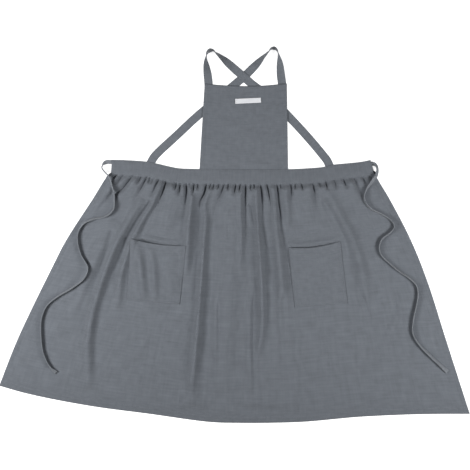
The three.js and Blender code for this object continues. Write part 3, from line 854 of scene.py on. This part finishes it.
# %% [markdown]
# ## Waistband
#
# The band is a strip folded double over the raw edges of the bib and the skirt, and stitched down along
# both edges. The gathers swell it towards its lower edge, so its section is a wedge. A box with bevelled
# edges would look solid, so the band is lofted from its true section: a front and a back layer round a
# web, with a groove above for the bib and one below for the gathers. Along the lower edge the front layer
# dips a little into each crease.

# %% Section of the waistband
BAND_LAYER = 0.0010
BAND_GROOVE = 0.0034
BIB_GROOVE = 0.022
FRONT_POINTS = 21
# The front is crowned, rounded off at its edges, and drawn in along the stitching
BAND_CROWN = 0.0005
BAND_ROUNDING = 0.0006
BAND_STITCH_IN = 0.0028
STITCH_DIMPLE = 0.0006
DIMPLE_WIDTH = 0.0016


def band_section():
    """The section as across and up, round the front, the upper groove, the back and the lower groove."""
    half = BAND_WIDTH / 2
    inner = BAND_LAYER + BAND_GROOVE
    thick = inner + BAND_LAYER
    across = half * np.sin(np.linspace(-math.pi / 2, math.pi / 2, FRONT_POINTS))
    from_edge = half - np.abs(across)
    dimples = STITCH_DIMPLE * np.exp(-(((from_edge - BAND_STITCH_IN) / DIMPLE_WIDTH) ** 2))
    rounding = BAND_ROUNDING * np.exp(-from_edge / BAND_ROUNDING)
    swell = BAND_SWELL * (half - across) / BAND_WIDTH
    front = thick + BAND_CROWN * (1 - (across / half) ** 2) + swell - dimples - rounding
    upper = [(half, inner), (half - BIB_GROOVE, inner), (half - BIB_GROOVE, BAND_LAYER), (half, BAND_LAYER)]
    back = [(half, 0.0), (0.0, 0.0), (-half, 0.0)]
    web = SKIRT_GROOVE - half
    lower = [(-half, BAND_LAYER), (web, BAND_LAYER), (web, inner), (-half, inner + BAND_SWELL)]
    return np.array([*zip(across, front), *upper, *back, *lower])


section = band_section()
print("the band's section is up to", round(section[:, 1].max(), 4), "m high")

# %% Waistband
BAND_STEPS = 230
BAND_SMOOTHING = 7
# The front layer dips into each crease that starts this close to the band
RIPPLE = 0.0010
RIPPLE_WIDTH = 0.005
RIPPLE_REACH = 0.009

x = np.linspace(band_x[0], band_x[-1], BAND_STEPS + 1)
middle = np.stack([x, band_middle(x)], axis=-1)
slope = running_mean(np.gradient(middle[:, 1], x), BAND_SMOOTHING)
upward = np.stack([-slope, np.ones_like(x)], axis=-1) / np.sqrt(1 + slope**2)[:, None]
flat = middle[:, None] + upward[:, None] * section[:, :1]
dips = np.zeros_like(x)
for route, depth, *_ in CREASES:
    if below_band(*route[0]) < RIPPLE_REACH:
        dips += depth * np.exp(-(((x - route[0][0]) / RIPPLE_WIDTH) ** 2))
dips = np.minimum(dips, 1)
from_lower = section[:, 0] + BAND_WIDTH / 2
in_front = section[:, 1] > BAND_LAYER + BAND_GROOVE / 2
drop = RIPPLE * np.exp(-from_lower / RIPPLE_REACH) * in_front
height = section[:, 1] - dips[:, None] * drop
rings = np.dstack([flat[..., 0], flat[..., 1] + MIDDLE_SHIFT, height])
band = loft("waistband_cloth", rings, apron_cloth)
stands_for(band, "waistband")
print(band.name, "has", len(band.data.polygons), "faces")

# %% [markdown]
# ## Bib
#
# The bib is a plain panel, a little wider at the waist, with narrow hems at its sides and its top. It
# lies over the crossed straps and ends inside the waistband. As with the skirt, a grid is the cut, and
# its points are moved: hems are a little thicker, the side edges curl up a little, and the cloth between
# them is not quite flat.

# %% Bib
# The top edge and its dip in the middle, and the ends of the two side edges
BIB_TOP = 0.4655
BIB_TOP_DIP = 0.0080
BIB_TOP_ENDS = (-0.0925, 0.162)
BIB_WAIST_ENDS = (-0.109, 0.166)
# How far it reaches into the band, and how high it lies
BIB_TUCK = 0.012
BIB_UNDERSIDE = 0.0024
BIB_CUT = (0.290, 0.310)
BIB_GRID = (84, 88)
BIB_HEM = 0.011
BIB_TOP_HEM = 0.012
# How uneven the cloth is, and how high and how far in its sides curl up
BIB_SWELL = 0.0006
BIB_SIDE_LIFT = 0.0028
BIB_SIDE_REACH = 0.010


def bib_top(u):
    """The bib's upper edge, which dips between its corners."""
    return BIB_TOP - BIB_TOP_DIP * np.sin(math.pi * u)


bib, u, v = sheet_grid("bib_cloth", *BIB_GRID, BIB_CUT, apron_cloth)
left_edge = BIB_TOP_ENDS[0] + (BIB_WAIST_ENDS[0] - BIB_TOP_ENDS[0]) * v
right_edge = BIB_TOP_ENDS[1] + (BIB_WAIST_ENDS[1] - BIB_TOP_ENDS[1]) * v
x = left_edge + (right_edge - left_edge) * u
y = bib_top(u) + (band_middle(x) + BAND_WIDTH / 2 - BIB_TUCK - bib_top(u)) * v
from_side = np.minimum(x - left_edge, right_edge - x)
from_edge = np.minimum(from_side + BIB_TOP_HEM - BIB_HEM, bib_top(u) - y)
hemmed = 1 - smooth_step((from_edge - BIB_TOP_HEM) / HEM_EDGE)
free = smooth_step((y - band_middle(x) - BAND_WIDTH / 2) / BIB_TUCK)
uneven = BIB_SWELL * np.tanh(wrinkle_height(x, y) / BIB_SWELL)
curled = BIB_SIDE_LIFT * np.exp(-((from_side / BIB_SIDE_REACH) ** 2)) * np.sin(math.pi * v)
z = BIB_UNDERSIDE + free * (HEM_RISE * hemmed + uneven + curled)
settle(bib, "bib", x, y, z)

# %% [markdown]
# ## Patch pockets
#
# Each pocket is a square patch sewn to the skirt at its sides and bottom. Its mouth has a wide hem and
# stands a little open, so that a dark line shows behind it. A patch that is shrink-wrapped to the skirt
# would sink into every crease. So this one follows the skirt's height at its seams only, bridges the
# creases in the middle, and lifts towards the mouth.

# %% Pockets
# Corners from the top left round to the bottom left, where along the mouth it gapes most, the sag of the
# mouth and how far it gapes
POCKETS = {
    "pocket_left": (
        ((-0.318, -0.015), (-0.149, -0.036), (-0.169, -0.217), (-0.334, -0.205)), 0.25, 0.007, 0.0085,
    ),
    "pocket_right": (
        ((0.166, -0.042), (0.327, -0.023), (0.350, -0.214), (0.186, -0.227)), 0.40, 0.0085, 0.0050,
    ),
}
# Soft folds of the left pocket's own cloth
POCKET_FOLDS = [
    # route, width, height
    ([(-0.302, -0.028), (-0.292, -0.080), (-0.286, -0.135), (-0.282, -0.203)], 0.014, 0.015),
    ([(-0.262, -0.045), (-0.252, -0.080), (-0.248, -0.130), (-0.244, -0.205)], 0.012, 0.011),
    ([(-0.190, -0.060), (-0.196, -0.130), (-0.205, -0.200)], 0.020, 0.007),
]
POCKET_CUT = (0.180, 0.210)
POCKET_GRID = (64, 70)
POCKET_HEM = 0.022
POCKET_SEAM = 0.006
# Creases narrower than twice this are bridged
POCKET_BRIDGE = 0.007
# How full the gape is across the mouth, and how far down it reaches
GAPE_ACROSS = 0.7
GAPE_DOWN = 0.055


def pocket(name, corners, gapes, sag, gap):
    """A patch on the skirt, sewn down at three sides."""
    piece, u, v = sheet_grid(name + "_cloth", *POCKET_GRID, POCKET_CUT, apron_cloth)
    top_left, top_right, bottom_right, bottom_left = np.array(corners)
    width, length = np.linalg.norm(top_right - top_left), np.linalg.norm(top_left - bottom_left)
    u_, v_ = u[:, None], v[:, None]
    upper = top_left * (1 - u_) + top_right * u_
    lower = bottom_left * (1 - u_) + bottom_right * u_
    x, y = (upper * (1 - v_) + lower * v_).T
    y = y - sag * np.sin(math.pi * u) * (1 - v) ** 2

    from_seam = np.minimum(np.minimum(u, 1 - u) * width, (1 - v) * length)
    inner = smooth_step(from_seam / (2 * POCKET_SEAM))
    skirt_top = lie_of_skirt(x, y) + CLOTH + CLEARANCE
    bridged = skirt_under(x, y, POCKET_BRIDGE) + CLEARANCE
    lean = u ** (math.log(0.5) / math.log(gapes))
    mouth = np.sin(math.pi * lean) ** GAPE_ACROSS
    down = v * length
    gape = gap * mouth * np.exp(-((down / GAPE_DOWN) ** 2))
    hemmed = HEM_RISE * (1 - smooth_step((down - POCKET_HEM) / HEM_EDGE))
    z = skirt_top + (bridged - skirt_top + HEM_RISE + raised(POCKET_FOLDS, x, y)) * inner + gape + hemmed
    settle(piece, name, x, y, z)
    return piece


pockets = {name: pocket(name, *details) for name, details in POCKETS.items()}

# %% [markdown]
# ## Straps
#
# Each strap is a flat band of cloth, 26 mm wide and stitched along both edges. It leaves the bib's top
# corner, stands up on its edge where it turns over the shoulder, lies flat again on its other face,
# crosses the other strap and ends in the waistband. It is lofted as the ties are, with its roll and its
# lift over the floor in a table.

# %% Routes of the straps
# From the bib's top corner to the band: x, y, roll in degrees, and lift of the lowest edge
STRAP_ROUTES = {
    "strap_left": [
        (-0.0800, 0.4360, 0, 0.0005), (-0.0805, 0.4670, 0, 0.0003), (-0.0830, 0.4920, 14, 0),
        (-0.0865, 0.5220, 50, 0), (-0.0872, 0.5400, 80, 0), (-0.0857, 0.5500, 96, 0),
        (-0.0825, 0.5590, 120, 0), (-0.0755, 0.5660, 136, 0), (-0.0680, 0.5655, 124, 0),
        (-0.0610, 0.5615, 102, 0), (-0.0530, 0.5555, 116, 0), (-0.0390, 0.5445, 134, 0),
        (-0.0210, 0.5295, 162, 0), (0.0035, 0.5080, 180, 0.0016),
        (0.0150, 0.4980, 180, 0.0020), (0.0270, 0.4875, 180, 0.0020), (0.0405, 0.4755, 180, 0.0018),
        (0.0500, 0.4675, 180, 0.0005), (0.0610, 0.4590, 180, 0.0003), (0.0815, 0.4440, 180, 0),
        (0.1210, 0.4115, 180, 0), (0.1710, 0.3610, 180, 0), (0.2345, 0.2915, 180, 0),
        (0.2750, 0.2430, 180, 0), (0.2866, 0.2275, 180, 0.0014), (0.2960, 0.2070, 180, 0.0014),
    ],
    "strap_right": [
        (0.1480, 0.4360, 0, 0.0005), (0.1470, 0.4670, 0, 0.0003), (0.1435, 0.4920, -14, 0),
        (0.1400, 0.5220, -44, 0), (0.1362, 0.5450, -78, 0), (0.1335, 0.5580, -97, 0),
        (0.1290, 0.5680, -118, 0), (0.1220, 0.5725, -133, 0), (0.1145, 0.5710, -120, 0),
        (0.1085, 0.5660, -100, 0), (0.1000, 0.5575, -110, 0), (0.0865, 0.5445, -126, 0),
        (0.0715, 0.5285, -152, 0), (0.0510, 0.5085, -180, 0),
        (0.0295, 0.4875, -180, 0), (-0.0100, 0.4545, -180, 0), (-0.0580, 0.4120, -180, 0),
        (-0.1120, 0.3680, -180, 0), (-0.1820, 0.3030, -180, 0), (-0.2410, 0.2480, -180, 0),
        (-0.2520, 0.2340, -180, 0.0014), (-0.2640, 0.2100, -180, 0.0014),
    ],
}
print("points of the straps:", {name: len(route) for name, route in STRAP_ROUTES.items()})

# %% Straps
STRAP_WIDTH = 0.026
STRAP_THICK = 0.0016
STRAP_STEPS = 8
STRAP_RING = flat_ring(STRAP_WIDTH, STRAP_THICK, points=24, squareness=0.3)


def strap(name, route):
    """A strap whose lowest edge follows the lift in its table."""
    flat, roll, lift = read_route(route, STRAP_STEPS)
    height = lift + half_height(STRAP_WIDTH, STRAP_THICK, roll)
    return tape(name, flat, height, roll, STRAP_RING, strap_cloth)


straps = {name: strap(name, route) for name, route in STRAP_ROUTES.items()}
for piece, middle, *_ in straps.values():
    print(piece.name, "is", round(float(lengths(middle)[-1]), 3), "m long")

# %% [markdown]
# ## Label
#
# The label is a short piece of white tape, folded under at both ends and sewn to the bib there. It is
# left bare. A thin box would do for its size, but tape that is held at its ends lifts a little in the
# middle, and its folded ends are thicker.

# %% Label
LABEL_SIZE = (0.080, 0.0152)
LABEL_MIDDLE = (0.042, 0.4122)
LABEL_TILT = 2.5
LABEL_CUT = (0.092, 0.016)
LABEL_GRID = (60, 14)
LABEL_THICK = 0.0006
# The tape's arch between its ends, how full it is, and the slight waves in it
LABEL_LIFT = 0.0009
LABEL_ARCH = 0.6
LABEL_WAVE = 0.2
LABEL_WAVE_ALONG = 9
LABEL_WAVE_ACROSS = 3
# Length of the folded ends, how much thicker they are and over what length they become so
LABEL_FOLD = 0.005
LABEL_FOLD_RISE = 0.0004
LABEL_FOLD_EDGE = 0.001


def label_place(across, up):
    """Where a point of the label lies, this far across and up from its middle."""
    turn = math.radians(LABEL_TILT)
    x = LABEL_MIDDLE[0] + across * math.cos(turn) - up * math.sin(turn)
    y = LABEL_MIDDLE[1] + across * math.sin(turn) + up * math.cos(turn)
    return x, y


label, u, v = sheet_grid("label_tape", *LABEL_GRID, LABEL_CUT, label_tape)
across, up = (u - 0.5) * LABEL_SIZE[0], (0.5 - v) * LABEL_SIZE[1]
from_end = LABEL_SIZE[0] / 2 - np.abs(across)
folded = 1 - smooth_step((from_end - LABEL_FOLD) / LABEL_FOLD_EDGE)
waves = 1 - LABEL_WAVE + LABEL_WAVE * np.sin(LABEL_WAVE_ALONG * u + LABEL_WAVE_ACROSS * v)
lifted = LABEL_LIFT * np.sin(math.pi * u) ** LABEL_ARCH * waves
z = BIB_UNDERSIDE + CLOTH + BIB_SWELL + CLEARANCE + lifted + LABEL_FOLD_RISE * folded
settle(label, "label", *label_place(across, up), z, LABEL_THICK, "label_tape")

# %% [markdown]
# ## Stitching
#
# Every edge is sewn with a row of short stitches in thread of the cloth's colour. A row could be painted
# as a texture, but real stitches catch the light from any side. So one stitch is modelled from a small
# sphere that is drawn out long, and copied along each row, lying on the cloth there.

# %% One stitch
STITCH_LENGTH = 0.0026
STITCH_PITCH = 0.0034
STITCH_THICK = 0.0006
STITCH_SUNK = 0.25

bpy.ops.object.select_all(action="DESELECT")
bpy.ops.mesh.primitive_ico_sphere_add(subdivisions=1, radius=0.5)
model = bpy.context.object
stitch_points = np.array([vertex.co[:] for vertex in model.data.vertices])
stitch_faces = np.array([face.vertices[:] for face in model.data.polygons])
bpy.data.objects.remove(model)
print("one stitch has", len(stitch_faces), "faces")


def sew(name, rows, material):
    """A row of stitches along each line of points, lying on the cloth that the normals stand on."""
    points, faces = [], []
    for line, normals in rows:
        along = lengths(line)
        wanted = np.arange(STITCH_PITCH / 2, along[-1], STITCH_PITCH)
        forward = at_distance(line, along, wanted + STITCH_PITCH / 2)
        forward -= at_distance(line, along, wanted - STITCH_PITCH / 2)
        forward /= np.linalg.norm(forward, axis=1)[:, None]
        side = np.cross(at_distance(normals, along, wanted), forward)
        side /= np.linalg.norm(side, axis=1)[:, None]
        normal = np.cross(forward, side)
        seats = at_distance(line, along, wanted) + normal * STITCH_THICK * STITCH_SUNK
        turns = np.stack([forward * STITCH_LENGTH, side * STITCH_THICK, normal * STITCH_THICK], axis=1)
        for seat, turn in zip(seats, turns):
            # A stitch under a tape that lies on the floor has no room and is left out
            if seat[2] >= STITCH_THICK:
                faces.append(stitch_faces + len(stitch_points) * len(points))
                points.append(seat + stitch_points @ turn)
    piece = add_mesh(name, np.vstack(points), np.vstack(faces).tolist(), material)
    bpy.ops.object.shade_smooth()
    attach(piece, "root")
    print(name, "has", len(points), "stitches")
    return piece


# %% Rows on tapes
STRAP_STITCH_IN = 0.0025
TIE_STITCH_IN = 0.0022
# A tie is a little thinner towards its edges
TIE_EDGE = 0.95


def sew_tape(name, middle, side, face, places, thick):
    """Rows on both faces of a tape, at these places across it."""
    rows = [
        (middle + side * across + face * turned * thick / 2, face * turned)
        for across in places for turned in (-1, 1)
    ]
    sew(name + "_stitching", rows, grey_thread)


strap_row = STRAP_WIDTH / 2 - STRAP_STITCH_IN
for name, (_, *lines) in straps.items():
    sew_tape(name, *lines, (-strap_row, strap_row), STRAP_THICK)
tie_row = TIE_WIDTH / 2 - TIE_STITCH_IN
for name, (_, *lines) in ties.items():
    sew_tape(name, *lines, (tie_row,), TIE_THICK * TIE_EDGE)

# %% Rows on sheets
ROW_STEP = 0.002
LOOK_FROM = 1
DOWN = Vector((0, 0, -1))


def sew_sheet(name, piece, lines, material=grey_thread):
    """Rows on a sheet's upper face, which is found by looking straight down along each line."""
    tree = BVHTree.FromObject(piece, bpy.context.evaluated_depsgraph_get())
    rows = []
    for line in lines:
        count = max(2, int(lengths(line)[-1] / ROW_STEP))
        places = at_share(line, np.linspace(0, 1, count)) + np.array([0, MIDDLE_SHIFT])
        found = [tree.ray_cast(Vector((x, y, LOOK_FROM)), DOWN) for x, y in places]
        hits = [(place[:], normal[:]) for place, normal, _, _ in found if place is not None]
        rows.append([np.array(column) for column in zip(*hits)])
    return sew(name, rows, material)


print("rows on sheets have a point every", ROW_STEP, "m")

# %% Rows on the skirt and the band
ROW_POINTS = 200
HEM_ROW_ENDS = (0.004, 0.996)
SIDE_ROW_START = 0.03

hem_share = 1 - HEM_WIDTH / skirt_length
hem_row = skirt_plan(np.linspace(*HEM_ROW_ENDS, ROW_POINTS), np.full(ROW_POINTS, hem_share))
down = np.linspace(SIDE_ROW_START, hem_share, ROW_POINTS)
side_share = SIDE_HEM_WIDTH / skirt_width(down)
side_rows = [skirt_plan(share, down) for share in (side_share, 1 - side_share)]
skirt_stitching = sew_sheet("skirt_stitching", skirt, [hem_row, *side_rows])

x = np.linspace(band_x[0] + BAND_STITCH_IN, band_x[-1] - BAND_STITCH_IN, ROW_POINTS)
from_middle = BAND_WIDTH / 2 - BAND_STITCH_IN
band_rows = [np.column_stack([x, band_middle(x) + edge * from_middle]) for edge in (-1, 1)]
band_stitching = sew_sheet("waistband_stitching", band, band_rows)

# %% Rows on the bib
# A side row starts this far below the bib's top and ends this far above the band
BIB_ROW_HEAD = 0.002
BIB_ROW_FOOT = 0.004
BIB_ROW_ENDS = (0.01, 0.99)
BIB_ROW_POINTS = 60

bib_foot = band_middle(0.0) + BAND_WIDTH / 2 + BIB_ROW_FOOT
bib_rows = [
    np.array([(head + hem, BIB_TOP - BIB_ROW_HEAD), (foot + hem, bib_foot)])
    for head, foot, hem in zip(BIB_TOP_ENDS, BIB_WAIST_ENDS, (BIB_HEM, -BIB_HEM))
]
u = np.linspace(*BIB_ROW_ENDS, BIB_ROW_POINTS)
bib_rows.append(np.column_stack([np.interp(u, (0, 1), BIB_TOP_ENDS), bib_top(u) - BIB_TOP_HEM]))
bib_stitching = sew_sheet("bib_stitching", bib, bib_rows)

# %% Rows on the pockets
POCKET_ROWS_IN = (0.0022, 0.0085)
POCKET_ROW_HEAD = 0.003
POCKET_ROW_ENDS = (0.02, 0.98)
POCKET_ROW_POINTS = 40


def pocket_rows(corners, sag):
    """Two rows round the sides and the bottom, and one across below the mouth."""
    top_left, top_right, bottom_right, bottom_left = np.array(corners)
    length = np.linalg.norm(bottom_left - top_left)
    across = (top_right - top_left) / np.linalg.norm(top_right - top_left)
    down = (bottom_left - top_left) / length
    rows = [
        np.array([
            top_left + across * inset + down * POCKET_ROW_HEAD, bottom_left + (across - down) * inset,
            bottom_right - (across + down) * inset, top_right - across * inset + down * POCKET_ROW_HEAD,
        ])
        for inset in POCKET_ROWS_IN
    ]
    u = np.linspace(*POCKET_ROW_ENDS, POCKET_ROW_POINTS)[:, None]
    hem = top_left * (1 - u) + top_right * u + down * POCKET_HEM
    hem[:, 1] -= sag * np.sin(math.pi * u[:, 0]) * (1 - POCKET_HEM / length) ** 2
    return [*rows, hem]


pocket_stitching = {
    name: sew_sheet(name + "_stitching", pockets[name], pocket_rows(corners, sag))
    for name, (corners, _, sag, _) in POCKETS.items()
}

# %% Rows on the label
LABEL_ROW_IN = 0.0025
LABEL_ROW_SIDE = 0.001

across = LABEL_SIZE[0] / 2 - LABEL_ROW_IN
up = np.array([-1, 1]) * (LABEL_SIZE[1] / 2 - LABEL_ROW_SIDE)
label_rows = [np.column_stack(label_place(end * across, up)) for end in (-1, 1)]
label_stitching = sew_sheet("label_stitching", label, label_rows, white_thread)

# %% [markdown]
# ## What each cloth was cut to
#
# Each sheet's grid has the size that it was cut to before it was sewn, and its UV map is in metres of that
# cut. The skirt's cut is much wider than the band, because it is gathered.

# %% [markdown]
# ## Floor and light
#
# The apron lies on a plain pale floor in soft studio light. One large lamp overhead would light all sides
# of a fold alike and leave the cloth flat. So two square lamps stand at the left and the right, aimed
# past the bib, and their light slants across the long folds. The left one is stronger. A faint sky
# fills the shadows, and the floor glows a little, so that it stays pale where the lamps don't reach.

# %% Floor
FLOOR_SIZE = 60
FLOOR_GAP = 0.0002
WHITE = (1, 1, 1, 1)
FLOOR_SHADE = {
    "Base Color": (0.5, 0.5, 0.5, 1), "Roughness": 1.0, "Emission Color": WHITE, "Emission Strength": 0.85,
}

bpy.ops.object.select_all(action="DESELECT")
bpy.ops.mesh.primitive_plane_add(size=FLOOR_SIZE, location=(0, 0, -FLOOR_GAP))
floor = bpy.context.object
floor.name = "floor"
paper, *_ = new_finish("floor_paper", FLOOR_SHADE)
floor.data.materials.append(paper)
print("floor:", FLOOR_SIZE, "m across")

# %% Light
# Place, size and power of each lamp
LAMPS = {
    "lamp_left": ((-1.35, -0.08, 1.3), 0.60, 38),
    "lamp_right": ((1.35, -0.38, 1.3), 0.60, 29.5),
}
LAMP_AIM = (0.0, 0.6)
SKY_STRENGTH = 0.12


def soft_lamp(name, place, size, power):
    """A square lamp that faces the aim."""
    bpy.ops.object.light_add(type="AREA", location=place)
    lamp = bpy.context.object
    lamp.name = name
    lamp.data.shape = "SQUARE"
    lamp.data.size = size
    lamp.data.energy = power
    x, y, z = place[0] - LAMP_AIM[0], place[1] - LAMP_AIM[1], place[2]
    lamp.rotation_euler = (math.atan2(math.hypot(x, y), z), 0, math.atan2(y, x) + math.pi / 2)


for name, details in LAMPS.items():
    soft_lamp(name, *details)
sky = bpy.data.worlds.new("sky")
sky.use_nodes = True
background = sky.node_tree.nodes["Background"]
background.inputs["Color"].default_value = WHITE
background.inputs["Strength"].default_value = SKY_STRENGTH
bpy.context.scene.world = sky
bpy.context.scene.view_settings.view_transform = "Standard"
print("lamps:", ", ".join(LAMPS), "and a sky of", SKY_STRENGTH)
